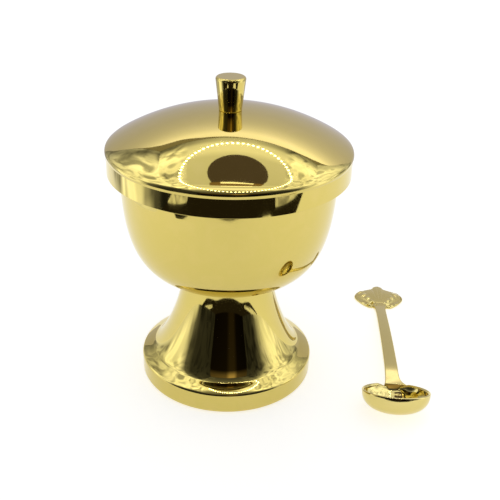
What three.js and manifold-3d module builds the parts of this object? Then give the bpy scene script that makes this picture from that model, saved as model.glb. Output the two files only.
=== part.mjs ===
// An incense boat of spun and turned brass, gold plated, with its spoon lying beside it.
// Millimetres, +Z up. The table is z = 0 and the boat's own axis is vertical.
import * as THREE from "three";
import { mergeVertices } from "three/addons/utils/BufferGeometryUtils.js";
import Module from "manifold-3d";

// Foot: a trumpet spun from one sheet, open underneath
const FOOT_RADIUS = 34.2; // upright wall at the base
const FOOT_HEIGHT = 43.5; // table to the seat under the bowl
const FOOT_WALL = 1.0; // thickness of the sheet
const FOOT_WALL_HEIGHT = 8; // table to where the shoulder begins
const FOOT_SHOULDER_RADIUS = 1.4; // rounding of the shoulder
const FOOT_SHOULDER_TURN = 57; // degrees that the shoulder turns through
const FOOT_SLOPE_RADIUS = 40; // slower rounding that follows the shoulder
const FOOT_SLOPE_TURN = 63; // degrees from upright where it gives way to the sweep up the stem
const FOOT_EDGE_RADIUS = 2.6; // rounding of the edge on the table
const FOOT_FLANGE_WIDTH = 4.5; // flat that is turned inwards to stand on
const STEM_RADIUS = 17.3; // top of the foot
const STEM_TAPER = 8; // degrees from upright at the top
const STEM_EDGE_RADIUS = 0.7; // rounding of the top edge
const STEM_LOW_PULL = 0.12; // how long the sweep keeps the slope's heading, as a share of its length
const STEM_HIGH_PULL = 0.45; // how early it takes the heading of its top, as a share of its length

// Bowl: spun from one sheet, with its rim rolled outwards
const BOWL_HEIGHT = 53; // floor to the top of the rolled rim
const BOWL_RADIUS = 40.35; // upright side
const BOWL_WALL = 1.0; // thickness of the sheet
const BOWL_FLOOR_RADIUS = 16; // flat that sits on the foot
const BOWL_FLOOR_RISE = 12.6; // degrees at which the belly leaves the floor
const BELLY_FLOOR_PULL = 0.6; // how long the belly keeps the floor's heading, as a share of its width
const BELLY_SIDE_PULL = 0.83; // how early it takes the side's heading, as a share of its height
const RIM_FLARE = 1.2; // how far the side leans out under the rim
const RIM_FLARE_HEIGHT = 8; // over which it leans out
const RIM_ROLL_RADIUS = 1.4; // half the thickness of the rolled rim

// Lid: spun from one sheet, with a skirt outside the bowl's rim
const LID_WALL = 0.9; // thickness of the sheet
const LID_CLEARANCE = 0.75; // round the rolled rim, inside the skirt
const LID_SEAT_GAP = 0.3; // between the rolled rim and the shoulder that rests on it
const LID_SKIRT_HEIGHT = 7.1; // lower edge to the rounding above it
const LID_EDGE_RADIUS = 1.6; // rounding between the skirt and the shoulder
const LID_EDGE_STAND = 0.3; // how far the rounding stands out past the skirt
const LID_SHOULDER_RADIUS = 14.6; // where the dome turns down towards the edge
const LID_SHOULDER_TURN = 41; // degrees from level where the shoulder meets the rounding
const LID_DOME_TURN = 30.8; // degrees from level where the dome meets the shoulder

// Knob: turned solid, with a tapped hole in its foot
const KNOB_HEIGHT = 12.1;
const KNOB_BASE_RADIUS = 4.15;
const KNOB_TOP_RADIUS = 5.45;
const KNOB_EDGE_RADIUS = 0.9; // rounding of the top edge
const KNOB_SEAT_MARGIN = 0.7; // flat on the crown, outside the knob's foot

// Fixing of the knob: a slotted screw and a washer under the dome
const SCREW_RADIUS = 1.5;
const SCREW_GRIP = 6.5; // length inside the knob
const SCREW_HEAD_RADIUS = 2.9;
const SCREW_HEAD_HEIGHT = 1.9;
const SCREW_HEAD_BEVEL = 0.6;
const SCREW_SLOT_WIDTH = 0.8;
const SCREW_SLOT_DEPTH = 0.9;
const KNOB_WASHER_RADIUS = 4.2;
const KNOB_WASHER_THICKNESS = 0.6;

// Fixing of the bowl: a stud brazed to its floor, with a washer and a nut inside the foot
const STUD_RADIUS = 2.5;
const STUD_TAIL = 3; // length below the nut
const STUD_BEVEL = 0.6; // round its lower end
const BOWL_WASHER_RADIUS = 7.5;
const BOWL_WASHER_THICKNESS = 1.0;
const NUT_ACROSS_FLATS = 8;
const NUT_HEIGHT = 4;
const THREAD_CLEARANCE = 0.15; // round a screw or stud, in its own thread
const HOLE_CLEARANCE = 0.4; // round a screw or stud, in a sheet or washer
const BORE_END_GAP = 1; // between the screw's end and the end of its hole

// Spoon: one casting, a small ladle with a shell at the end of its handle
const SPOON_WIDTH = 26.1; // bowl, across the handle
const SPOON_LENGTH = 23; // bowl, along the handle
const SPOON_DEPTH = 9.3;
const SPOON_WALL = 0.9;
const SPOON_TILT = 21.5; // degrees that the front of the rim stands up
const HANDLE_REACH = 65.5; // from the bowl's rim to the root of the shell
const HANDLE_WIDTH = 5.4; // next to the bowl
const HANDLE_END_WIDTH = 4.5; // next to the shell
const HANDLE_THICKNESS = 1.8;
const HANDLE_CHAMFER = 0.4;
const HANDLE_ARCH = 1.6; // how far the handle bows up from its chord
const HANDLE_FLARE = 5.5; // added to the width where it leaves the bowl
const HANDLE_FLARE_LENGTH = 2.5; // over which the flare dies away
const HANDLE_END_FLARE = 1.6; // added to the width where it meets the shell
const HANDLE_OVERLAP = 3; // length inside the bowl's wall and inside the shell
const SHELL_WIDTH = 22.6;
const SHELL_LENGTH = 19.4;
const SHELL_EDGE = 1.2; // thickness at the rim of the shell
const SHELL_CROWN = 2.2; // thickness in the middle
const SHELL_RIB = 0.4; // half the height of a rib over the hollow beside it
const SHELL_RIB_PITCH = 32; // degrees from rib to rib, fanning out from the root
const SHELL_FAN_BACK = 1.5; // from the root back to where the ribs' lines meet
const SHELL_BULGE = 0.43; // middle of the shell from its root, as a share of its length
const SPOON_GAP = 6.5; // from the lid's edge to the spoon, seen from above
const SPOON_BACK = -30.5; // the spoon's bowl, along Y from the boat's axis
const SPOON_TURN = -4.6; // degrees from straight back, as it lies on the table

// Facets of round pieces
const LARGE_STEPS = 36;
const SMALL_STEPS = 24;

// Cross-sections of the handle; the power crowds them towards the bowl, where it widens
const HANDLE_STEPS = 16;
const HANDLE_CROWDING = 1.5;

// Rings of the shell, as shares of its outline: its rim, with the share of the rim's thickness
// at each, and its face
const SHELL_RIM = [[0.93, 0], [0.99, 0.3], [1, 0.7]];
const SHELL_FACE = [0.97, 0.88, 0.72, 0.54, 0.34];
const SHELL_STEPS = 80; // points round the outline

const wasm = await Module();
wasm.setup();

const degrees = THREE.MathUtils.degToRad;
const toDegrees = THREE.MathUtils.radToDeg;
const point = (r, z) => new THREE.Vector2(r, z);

// Points on an arc about (r, z); angles in degrees, 0 pointing outwards and 90 up.
function arc(r, z, radius, from, to, steps) {
  const points = [];
  for (let i = 0; i <= steps; i++) {
    const angle = degrees(from + ((to - from) * i) / steps);
    points.push(point(r + radius * Math.cos(angle), z + radius * Math.sin(angle)));
  }
  return points;
}

// Points on a smooth curve that leaves one point and reaches another at the given headings.
function sweep(start, startHeading, startPull, end, endHeading, endPull, steps) {
  const heading = (angle) => point(Math.cos(degrees(angle)), Math.sin(degrees(angle)));
  const leave = start.clone().addScaledVector(heading(startHeading), startPull);
  const reach = end.clone().addScaledVector(heading(endHeading), -endPull);
  return new THREE.CubicBezierCurve(start, leave, reach, end).getPoints(steps);
}

// Drops points that repeat the one before.
function tidy(points) {
  return points.filter((p, i) => i === 0 || p.distanceTo(points[i - 1]) > 1e-3);
}

// Where the line through a and b crosses the line through c and d.
function crossing(a, b, c, d) {
  const along = b.clone().sub(a);
  const other = d.clone().sub(c);
  const share = c.clone().sub(a).cross(other) / along.cross(other);
  return a.clone().addScaledVector(along, share);
}

// The same line moved to its left, with mitred corners.
function mitred(points, distance) {
  const normals = points.slice(1).map((p, i) => {
    const along = p.clone().sub(points[i]).normalize();
    return point(-along.y, along.x);
  });
  return points.map((p, i) => {
    const before = normals[Math.max(i - 1, 0)];
    const after = normals[Math.min(i, normals.length - 1)];
    const mitre = before.clone().add(after).multiplyScalar(distance / (1 + before.dot(after)));
    return p.clone().add(mitre);
  });
}

// The inner face of a sheet whose outer face follows the points.
// A rounding that is tighter than the sheet is a sharp corner on the inside.
function offset(points, thickness) {
  const inner = mitred(points, thickness);
  const step = (line, i) => line[i].clone().sub(line[i - 1]);
  const reversed = inner.findIndex((p, i) => i > 1 && step(inner, i).dot(step(points, i)) <= 0);
  if (reversed < 0 || reversed > points.length - 2) return inner;
  const [before, from, to, after] = points.slice(reversed - 2, reversed + 2);
  const corner = crossing(before, from, to, after);
  return offset([...points.slice(0, reversed - 1), corner, ...points.slice(reversed + 1)], thickness);
}

// Merges shared vertices and drops triangles that have closed up.
function weld(geometry) {
  const bare = geometry.clone();
  bare.deleteAttribute("normal");
  bare.deleteAttribute("uv");
  const merged = mergeVertices(bare, 1e-4);
  const index = merged.index.array;
  const kept = [];
  for (let i = 0; i < index.length; i += 3) {
    const [a, b, c] = [index[i], index[i + 1], index[i + 2]];
    if (a !== b && b !== c && c !== a) kept.push(a, b, c);
  }
  merged.setIndex(kept);
  merged.computeVertexNormals();
  return merged;
}

// A profile of (r, z) points turned about the Z axis.
// It runs up the outside and down the inside, from axis to axis or back to its start.
function turned(profile, steps) {
  return weld(new THREE.LatheGeometry(tidy(profile), steps).rotateX(Math.PI / 2));
}

// A flat ring standing on z = bottom.
function ring(bore, radius, bottom, height) {
  const top = bottom + height;
  const profile = [point(bore, bottom), point(radius, bottom), point(radius, top), point(bore, top)];
  return turned([...profile, profile[0]], SMALL_STEPS);
}

function solid(geometry) {
  const welded = weld(geometry);
  const vertProperties = welded.attributes.position.array;
  const triVerts = Uint32Array.from(welded.index.array);
  return new wasm.Manifold(new wasm.Mesh({ numProp: 3, vertProperties, triVerts }));
}

function surface(manifold) {
  const mesh = manifold.getMesh();
  const geometry = new THREE.BufferGeometry();
  geometry.setAttribute("position", new THREE.BufferAttribute(mesh.vertProperties, 3));
  geometry.setIndex([...mesh.triVerts]);
  return weld(geometry);
}

// A skin over rings of equal point counts, closed by a fan at each end.
function loft(rings) {
  const size = rings[0].length;
  const centre = (loop) => loop.reduce((sum, p) => sum.add(p), new THREE.Vector3()).divideScalar(size);
  const points = [...rings.flat(), centre(rings[0]), centre(rings.at(-1))];
  const first = rings.length * size;
  const last = first + 1;
  const index = [];
  for (let j = 0; j < size; j++) {
    const next = (j + 1) % size;
    index.push(first, next, j);
    const top = (rings.length - 1) * size;
    index.push(last, top + j, top + next);
    for (let i = 0; i < rings.length - 1; i++) {
      const low = i * size;
      const high = low + size;
      index.push(low + j, low + next, high + next, low + j, high + next, high + j);
    }
  }
  const geometry = new THREE.BufferGeometry().setFromPoints(points);
  geometry.setIndex(index);
  return geometry;
}

// Gold plate on the outside pieces, plain brass and steel on the hidden ones
function metal(color, roughness) {
  return new THREE.MeshStandardMaterial({ color, roughness, metalness: 1 });
}
const goldPlate = () => metal(0xd9be5c, 0.12);
const rawBrass = () => metal(0xb8963f, 0.35);
const steel = () => metal(0xa8a8a4, 0.4);

function piece(name, geometry, material) {
  const mesh = new THREE.Mesh(geometry, material);
  mesh.name = name;
  return mesh;
}

// Heights and radii that neighbouring pieces share
const rollCentreRadius = BOWL_RADIUS + RIM_FLARE - BOWL_WALL + RIM_ROLL_RADIUS;
const rollCentreHeight = FOOT_HEIGHT + BOWL_HEIGHT - RIM_ROLL_RADIUS;
const skirtRadius = rollCentreRadius + RIM_ROLL_RADIUS + LID_CLEARANCE + LID_WALL;
const lidEdgeRadius = skirtRadius + LID_EDGE_STAND;

// The lid's three roundings run into each other: edge, shoulder and dome.
// The shoulder rests on the rolled rim, and the dome's centre lies on the axis.
const shoulderTurn = degrees(LID_SHOULDER_TURN);
const domeTurn = degrees(LID_DOME_TURN);
const edgeCentreRadius = lidEdgeRadius - LID_EDGE_RADIUS;
const edgeReach = LID_SHOULDER_RADIUS - LID_EDGE_RADIUS;
const shoulderCentreRadius = edgeCentreRadius - edgeReach * Math.sin(shoulderTurn);
const seatReach = LID_SHOULDER_RADIUS - LID_WALL - LID_SEAT_GAP - RIM_ROLL_RADIUS;
const seatOffset = rollCentreRadius - shoulderCentreRadius;
const shoulderCentreHeight = rollCentreHeight - Math.sqrt(seatReach ** 2 - seatOffset ** 2);
const edgeHeight = shoulderCentreHeight + edgeReach * Math.cos(shoulderTurn);
const domeReach = shoulderCentreRadius / Math.sin(domeTurn);
const domeRadius = LID_SHOULDER_RADIUS + domeReach;
const domeCentreHeight = shoulderCentreHeight - domeReach * Math.cos(domeTurn);

const knobSeatRadius = KNOB_BASE_RADIUS + KNOB_SEAT_MARGIN;
const knobSeatHeight = domeCentreHeight + Math.sqrt(domeRadius ** 2 - knobSeatRadius ** 2);
const screwHoleRadius = SCREW_RADIUS + HOLE_CLEARANCE;
const studHoleRadius = STUD_RADIUS + HOLE_CLEARANCE;

function foot() {
  const standing = point(FOOT_RADIUS - FOOT_EDGE_RADIUS - FOOT_FLANGE_WIDTH, 0);
  const edge = arc(FOOT_RADIUS - FOOT_EDGE_RADIUS, FOOT_EDGE_RADIUS, FOOT_EDGE_RADIUS, -90, 0, 3);
  const turn = FOOT_SHOULDER_TURN;
  const centre = point(FOOT_RADIUS - FOOT_SHOULDER_RADIUS, FOOT_WALL_HEIGHT);
  const shoulder = arc(centre.x, centre.y, FOOT_SHOULDER_RADIUS, 0, turn, 4);
  const outwards = point(Math.cos(degrees(turn)), Math.sin(degrees(turn)));
  centre.addScaledVector(outwards, FOOT_SHOULDER_RADIUS - FOOT_SLOPE_RADIUS);
  const slope = arc(centre.x, centre.y, FOOT_SLOPE_RADIUS, turn, FOOT_SLOPE_TURN, 2);
  const top = FOOT_HEIGHT - STEM_EDGE_RADIUS;
  const lip = arc(STEM_RADIUS - STEM_EDGE_RADIUS, top, STEM_EDGE_RADIUS, 0, 90, 2);
  const start = slope.at(-1);
  const reach = lip[0].distanceTo(start);
  const lowPull = STEM_LOW_PULL * reach;
  const highPull = STEM_HIGH_PULL * reach;
  const stem = sweep(start, 90 + FOOT_SLOPE_TURN, lowPull, lip[0], 90 + STEM_TAPER, highPull, 12);
  const seat = point(studHoleRadius, FOOT_HEIGHT);
  const outside = tidy([standing, ...edge, ...shoulder, ...slope, ...stem, ...lip, seat]);
  const inside = offset(outside, FOOT_WALL).reverse();
  return turned([...outside, ...inside, outside[0]], LARGE_STEPS);
}

function bowl() {
  const floor = FOOT_HEIGHT;
  const bellyStart = point(BOWL_FLOOR_RADIUS, floor);
  const bellyEnd = point(BOWL_RADIUS, rollCentreHeight - RIM_FLARE_HEIGHT);
  const floorPull = BELLY_FLOOR_PULL * (bellyEnd.x - bellyStart.x);
  const sidePull = BELLY_SIDE_PULL * (bellyEnd.y - bellyStart.y);
  const belly = sweep(bellyStart, BOWL_FLOOR_RISE, floorPull, bellyEnd, 90, sidePull, 11);
  const rollStart = toDegrees(Math.acos(1 - BOWL_WALL / RIM_ROLL_RADIUS)) - 180;
  const roll = arc(rollCentreRadius, rollCentreHeight, RIM_ROLL_RADIUS, rollStart, 180, 8);
  const outside = tidy([point(0, floor), ...belly, roll[0]]);
  const inside = offset(outside, BOWL_WALL).slice(0, -1).reverse();
  return turned([...outside, ...roll.slice(1), ...inside], LARGE_STEPS);
}

function bowlStud() {
  const tip = FOOT_HEIGHT - FOOT_WALL - BOWL_WASHER_THICKNESS - NUT_HEIGHT - STUD_TAIL;
  const end = [point(0, tip), point(STUD_RADIUS - STUD_BEVEL, tip), point(STUD_RADIUS, tip + STUD_BEVEL)];
  return turned([...end, point(STUD_RADIUS, FOOT_HEIGHT), point(0, FOOT_HEIGHT)], SMALL_STEPS);
}

function bowlWasher() {
  const bottom = FOOT_HEIGHT - FOOT_WALL - BOWL_WASHER_THICKNESS;
  return ring(studHoleRadius, BOWL_WASHER_RADIUS, bottom, BOWL_WASHER_THICKNESS);
}

function bowlNut() {
  const corner = NUT_ACROSS_FLATS / 2 / Math.cos(Math.PI / 6);
  const corners = arc(0, 0, corner, 0, 300, 5);
  const hexagon = new THREE.Shape(corners);
  const bore = new THREE.Path().absarc(0, 0, STUD_RADIUS + THREAD_CLEARANCE, 0, 2 * Math.PI, true);
  hexagon.holes.push(bore);
  const options = { depth: NUT_HEIGHT, bevelEnabled: false, curveSegments: SMALL_STEPS / 2 };
  const nut = new THREE.ExtrudeGeometry(hexagon, options);
  const top = FOOT_HEIGHT - FOOT_WALL - BOWL_WASHER_THICKNESS;
  return weld(nut.translate(0, 0, top - NUT_HEIGHT));
}

function lid() {
  const rounding = [edgeCentreRadius, edgeHeight, LID_EDGE_RADIUS];
  const shoulderRounding = [shoulderCentreRadius, shoulderCentreHeight, LID_SHOULDER_RADIUS];
  const underEdge = -toDegrees(Math.acos(1 - LID_EDGE_STAND / LID_EDGE_RADIUS));
  const edge = arc(...rounding, underEdge, 90 - LID_SHOULDER_TURN, 4);
  const shoulder = arc(...shoulderRounding, 90 - LID_SHOULDER_TURN, 90 - LID_DOME_TURN, 2);
  const flat = toDegrees(Math.acos(knobSeatRadius / domeRadius));
  const dome = arc(0, domeCentreHeight, domeRadius, 90 - LID_DOME_TURN, flat, 8);
  const crown = point(screwHoleRadius, knobSeatHeight);
  const skirt = point(skirtRadius, edge[0].y - LID_SKIRT_HEIGHT);
  const outside = tidy([skirt, ...edge, ...shoulder, ...dome, crown]);
  const inside = offset(outside, LID_WALL).reverse();
  return turned([...outside, ...inside, outside[0]], LARGE_STEPS);
}

function knob() {
  const base = knobSeatHeight;
  const top = base + KNOB_HEIGHT;
  const bore = SCREW_RADIUS + THREAD_CLEARANCE;
  const boreTop = base + SCREW_GRIP + BORE_END_GAP;
  const edge = arc(KNOB_TOP_RADIUS - KNOB_EDGE_RADIUS, top - KNOB_EDGE_RADIUS, KNOB_EDGE_RADIUS, 0, 90, 4);
  const hole = [point(0, boreTop), point(bore, boreTop), point(bore, base)];
  return turned([...hole, point(KNOB_BASE_RADIUS, base), ...edge, point(0, top)], SMALL_STEPS);
}

function knobWasher() {
  const bottom = knobSeatHeight - LID_WALL - KNOB_WASHER_THICKNESS;
  return ring(screwHoleRadius, KNOB_WASHER_RADIUS, bottom, KNOB_WASHER_THICKNESS);
}

function knobScrew() {
  const under = knobSeatHeight - LID_WALL - KNOB_WASHER_THICKNESS;
  const bottom = under - SCREW_HEAD_HEIGHT;
  const bevel = SCREW_HEAD_BEVEL;
  const tip = knobSeatHeight + SCREW_GRIP;
  const rim = SCREW_HEAD_RADIUS;
  const head = [point(0, bottom), point(rim - bevel, bottom), point(rim, bottom + bevel), point(rim, under)];
  const shank = [point(SCREW_RADIUS, under), point(SCREW_RADIUS, tip), point(0, tip)];
  const screw = solid(turned([...head, ...shank], SMALL_STEPS));
  const slot = new THREE.BoxGeometry(3 * rim, SCREW_SLOT_WIDTH, 2 * SCREW_SLOT_DEPTH);
  return surface(screw.subtract(solid(slot.translate(0, 0, bottom))));
}

// The spoon lies along +Y with the middle of its bowl's rim over the origin.
const halfWidth = SPOON_WIDTH / 2;
const halfLength = SPOON_LENGTH / 2;
const tilt = degrees(SPOON_TILT);
const rimHeight = Math.hypot(SPOON_DEPTH * Math.cos(tilt), halfLength * Math.sin(tilt));

// A half ball squeezed to the bowl's width, length and depth, less a wall all round.
function ladle(wall, crown) {
  const quarter = arc(0, 0, 1, -90, 0, 9);
  const profile = [...quarter, ...crown.map(([r, z]) => point(r, z))];
  const shape = new THREE.LatheGeometry(profile, LARGE_STEPS).rotateX(Math.PI / 2);
  shape.scale(halfWidth - wall, halfLength - wall, SPOON_DEPTH - wall);
  return shape.rotateX(-tilt).translate(0, 0, rimHeight);
}

// Four-sided bar section with cut corners, square to the handle.
function barSection(y, z, width, thickness) {
  const x = width / 2;
  const half = thickness / 2;
  const cut = Math.min(HANDLE_CHAMFER, half / 2);
  const corners = [
    [cut - x, half], [x - cut, half], [x, half - cut], [x, cut - half],
    [x - cut, -half], [cut - x, -half], [-x, cut - half], [-x, half - cut],
  ];
  return corners.map(([across, up]) => new THREE.Vector3(across, y, z + up));
}

const handleStart = halfLength * Math.cos(tilt);
const shellRoot = handleStart + HANDLE_REACH;

// The bar bows up from the bowl's rim and comes down to the table at the shell.
function handle() {
  const rimBack = rimHeight - halfLength * Math.sin(tilt) - HANDLE_THICKNESS / 2;
  const rest = HANDLE_THICKNESS / 2;
  const rings = [];
  for (let i = 0; i <= HANDLE_STEPS; i++) {
    const share = (i / HANDLE_STEPS) ** HANDLE_CROWDING;
    const y = handleStart - HANDLE_OVERLAP + (HANDLE_REACH + 2 * HANDLE_OVERLAP) * share;
    const along = THREE.MathUtils.clamp((y - handleStart) / HANDLE_REACH, 0, 1);
    const z = THREE.MathUtils.lerp(rimBack, rest, along) + 4 * HANDLE_ARCH * along * (1 - along);
    const flare = HANDLE_FLARE * Math.exp((-along * HANDLE_REACH) / HANDLE_FLARE_LENGTH);
    const endFlare = HANDLE_END_FLARE * Math.exp(((along - 1) * HANDLE_REACH) / HANDLE_FLARE_LENGTH);
    const width = THREE.MathUtils.lerp(HANDLE_WIDTH, HANDLE_END_WIDTH, along) + flare + endFlare;
    rings.push(barSection(y, z, width, HANDLE_THICKNESS));
  }
  return loft(rings);
}

// Outline of the shell's right half, as shares of half its width and of its length:
// the root, the lower lobe, the tip, the upper lobe, the notch and the crown's side.
const SHELL_HALF = [
  [0.29, 0], [0.5, 0.02], [0.8, 0.2], [1, 0.43],
  [0.86, 0.65], [0.55, 0.77], [0.25, 0.86], [0.17, 0.95],
];

function shellOutline(count) {
  const place = ([u, v]) => new THREE.Vector3((u * SHELL_WIDTH) / 2, v * SHELL_LENGTH, 0);
  const right = SHELL_HALF.map(place);
  const left = right.map((p) => new THREE.Vector3(-p.x, p.y, 0)).reverse();
  const line = new THREE.CatmullRomCurve3([...right, place([0, 1]), ...left], true);
  return line.getSpacedPoints(count).slice(0, -1);
}

// Height of the shell's face: a low dome with ribs that fan out from the root.
// The share is 0 in the middle of the shell and 1 at its edge.
function shellHeight(x, y, share) {
  const fan = toDegrees(Math.atan2(x, y + SHELL_FAN_BACK));
  const rib = SHELL_RIB * Math.cos((2 * Math.PI * fan) / SHELL_RIB_PITCH);
  return SHELL_EDGE + (SHELL_CROWN - SHELL_EDGE) * (1 - share ** 2) + rib * share * (2 - share);
}

// Rings from the flat underneath, round the edge and in over the face, each a share of the outline.
function shell() {
  const outline = shellOutline(SHELL_STEPS);
  const middle = new THREE.Vector3(0, SHELL_BULGE * SHELL_LENGTH, 0);
  const drawnIn = (share, height) => outline.map((p) => {
    const q = middle.clone().lerp(p, share);
    q.z = height ?? shellHeight(q.x, q.y, share);
    return q;
  });
  const rim = SHELL_RIM.map(([share, up]) => drawnIn(share, up * SHELL_EDGE));
  const face = SHELL_FACE.map((share) => drawnIn(share));
  return loft([...rim, ...face]).translate(0, shellRoot, 0);
}

function spoon() {
  const bowlOutside = solid(ladle(0, [[0, 0]]));
  const bowlInside = solid(ladle(SPOON_WALL, [[1, 1], [0, 1]]));
  const body = bowlOutside.add(solid(handle())).add(solid(shell()));
  return surface(body.subtract(bowlInside));
}

// The boat
const boat = new THREE.Group();
boat.add(piece("foot", foot(), goldPlate()));
boat.add(piece("bowl", bowl(), goldPlate()));
boat.add(piece("bowl_stud", bowlStud(), rawBrass()));
boat.add(piece("bowl_washer", bowlWasher(), rawBrass()));
boat.add(piece("bowl_nut", bowlNut(), rawBrass()));

const lifted = new THREE.Group();
lifted.add(piece("lid", lid(), goldPlate()));
lifted.add(piece("knob", knob(), goldPlate()));
lifted.add(piece("knob_washer", knobWasher(), rawBrass()));
lifted.add(piece("knob_screw", knobScrew(), steel()));

// The spoon, on the table beside the boat
const spoonPlace = new THREE.Group();
spoonPlace.position.set(lidEdgeRadius + SPOON_GAP + halfWidth, SPOON_BACK, 0);
spoonPlace.rotation.z = degrees(SPOON_TURN);
spoonPlace.add(piece("spoon", spoon(), goldPlate()));

// The whole set, with the origin on the table under the middle of its outer box
const incenseBoat = new THREE.Group();
incenseBoat.add(boat, lifted, spoonPlace);
const box = new THREE.Box3().setFromObject(incenseBoat, true);
const middle = box.getCenter(new THREE.Vector3());
incenseBoat.position.set(-middle.x, -middle.y, 0);
incenseBoat.updateMatrixWorld(true);

export default incenseBoat;
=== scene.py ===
# %% [markdown]
# # An incense boat and its spoon
#
# The object is church metalwork: a covered bowl on a trumpet foot, spun and
# turned in brass and plated with polished gold, and a small cast spoon that
# lies beside it. This lesson loads the engineering model as a fixed frame and
# lays a finely made skin over it, piece by piece. A mirror finish shows its
# surroundings more than itself, so the smoothness of each surface and the
# tent of white paper and foil round the object matter as much as the colour.

# %% The frame
from math import acos, atan2, ceil, cos, degrees, exp, hypot, pi, radians, sin, sqrt

import bmesh
import bpy
from mathutils import Matrix, Vector
from mathutils.geometry import interpolate_bezier


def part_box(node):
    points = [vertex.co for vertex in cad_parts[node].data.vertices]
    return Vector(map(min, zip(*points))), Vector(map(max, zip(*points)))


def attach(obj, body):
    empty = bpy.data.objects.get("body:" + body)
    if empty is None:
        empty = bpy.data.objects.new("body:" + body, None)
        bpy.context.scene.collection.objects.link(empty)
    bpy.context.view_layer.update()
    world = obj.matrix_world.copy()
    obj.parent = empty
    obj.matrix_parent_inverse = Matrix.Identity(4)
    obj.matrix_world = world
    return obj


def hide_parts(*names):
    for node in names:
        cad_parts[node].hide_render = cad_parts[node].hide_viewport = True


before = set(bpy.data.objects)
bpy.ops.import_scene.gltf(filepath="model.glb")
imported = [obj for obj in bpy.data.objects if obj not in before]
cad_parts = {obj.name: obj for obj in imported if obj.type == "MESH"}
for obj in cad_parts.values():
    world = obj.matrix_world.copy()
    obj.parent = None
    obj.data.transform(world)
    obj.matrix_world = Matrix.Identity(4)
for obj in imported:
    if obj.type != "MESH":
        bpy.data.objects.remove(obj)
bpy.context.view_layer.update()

print("nodes:", ", ".join(sorted(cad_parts)))

# %% [markdown]
# ## Where things stand
#
# Drawings of turned work give radii and heights in millimetres, and Blender
# works in metres, so one factor joins them. The boat's own axis is not at the
# origin, because the frame is centred on the boat and spoon together. It is
# read off the foot's box.

# %% Units and the boat's axis
MM = 0.001

foot_low, foot_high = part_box("foot")
axis = Vector(((foot_low.x + foot_high.x) / 2, (foot_low.y + foot_high.y) / 2, 0))
print("boat axis at", [round(v / MM, 2) for v in axis])

# %% [markdown]
# ## The camera
#
# The lens and the place follow the photograph: a little above the lid, looking
# down by 27 degrees, with the boat left of the middle. The picture is square.

# %% Camera
LENS = 60.75  # mm, on a 36 mm sensor
CAMERA_BACK = 291.5
CAMERA_HEIGHT = 201.9
CAMERA_DOWN = 0.472  # radians
CAMERA_RIGHT = 0.029
CAMERA_ROLL = 0.029

camera_data = bpy.data.cameras.new("camera")
camera_data.lens = LENS
camera_data.sensor_width = 36
camera_data.clip_start = 0.01
camera = bpy.data.objects.new("camera", camera_data)
bpy.context.scene.collection.objects.link(camera)
bpy.context.scene.camera = camera

looking = Vector((
    sin(CAMERA_RIGHT) * cos(CAMERA_DOWN),
    cos(CAMERA_RIGHT) * cos(CAMERA_DOWN),
    -sin(CAMERA_DOWN),
))
level = Vector((cos(CAMERA_RIGHT), -sin(CAMERA_RIGHT), 0))
upright = level.cross(looking)
across = cos(CAMERA_ROLL) * level + sin(CAMERA_ROLL) * upright
upwards = -sin(CAMERA_ROLL) * level + cos(CAMERA_ROLL) * upright
place = axis + Vector((0, -CAMERA_BACK, CAMERA_HEIGHT)) * MM
camera.matrix_world = Matrix.Translation(place) @ Matrix((across, upwards, -looking)).transposed().to_4x4()
print("camera at", [round(v, 4) for v in place])

# %% [markdown]
# ## Node helpers
#
# Each material is a small graph of nodes. A few helpers keep the graphs short:
# they add a node, set or link its inputs and hand back what comes out of it.

# %% Node helpers
def add(tree, kind, **inputs):
    """Adds a node. A socket given as a value is linked, anything else is set."""
    node = tree.nodes.new(kind)
    for name, value in inputs.items():
        key = int(name[1:]) if name[1:].isdigit() else name.replace("_", " ")
        socket = node.inputs[key]
        if isinstance(value, bpy.types.NodeSocket):
            tree.links.new(value, socket)
        else:
            socket.default_value = value
    return node


def maths(tree, operation, first, second=0.0):
    node = tree.nodes.new("ShaderNodeMath")
    node.operation = operation
    for socket, value in zip(node.inputs, (first, second)):
        if isinstance(value, bpy.types.NodeSocket):
            tree.links.new(value, socket)
        else:
            socket.default_value = value
    return node.outputs[0]


def times(tree, first, second):
    return maths(tree, "MULTIPLY", first, second)


def noise(tree, place_at, scale, **more):
    return add(tree, "ShaderNodeTexNoise", Vector=place_at, Scale=scale, **more).outputs[0]


def new_material(name):
    material = bpy.data.materials.new(name)
    material.use_nodes = True
    material.node_tree.nodes.clear()
    return material, material.node_tree


def finish_material(tree, shader):
    output = tree.nodes.new("ShaderNodeOutputMaterial")
    tree.links.new(shader, output.inputs["Surface"])


def ramp(tree, value, *stops):
    """A soft step between the given positions and grey levels."""
    node = tree.nodes.new("ShaderNodeValToRGB")
    tree.links.new(value, node.inputs[0])
    while len(node.color_ramp.elements) < len(stops):
        node.color_ramp.elements.new(0.5)
    for element, (position, level_) in zip(node.color_ramp.elements, stops):
        element.position = position
        element.color = (level_, level_, level_, 1)
    return node.outputs[0]


def from_axis(tree, x, y):
    """The distance from the Z axis, out of two coordinates."""
    squares = [times(tree, value, value) for value in (x, y)]
    return maths(tree, "SQRT", maths(tree, "ADD", *squares))


def two_tones(tree, share, first, second):
    """The first colour where the share is 0, the second where it is 1."""
    node = tree.nodes.new("ShaderNodeMix")
    node.data_type = "RGBA"
    tree.links.new(share, node.inputs[0])
    node.inputs[6].default_value = first
    node.inputs[7].default_value = second
    return node.outputs[2]


# %% [markdown]
# ## Polished gold plate
#
# Gold plate on brass is paler and greener than pure gold. It is a mirror, so
# the colour is the tint of its reflections. What tells it from a perfect
# mirror is small: a slow waviness left by the spinning tool, faint rings left
# by the polishing mop, a little haze, and a few grains of dust. The rings run
# round the axis of a spun piece, so they are drawn from the distance to the
# axis and the height, not from the plain coordinates.

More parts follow.
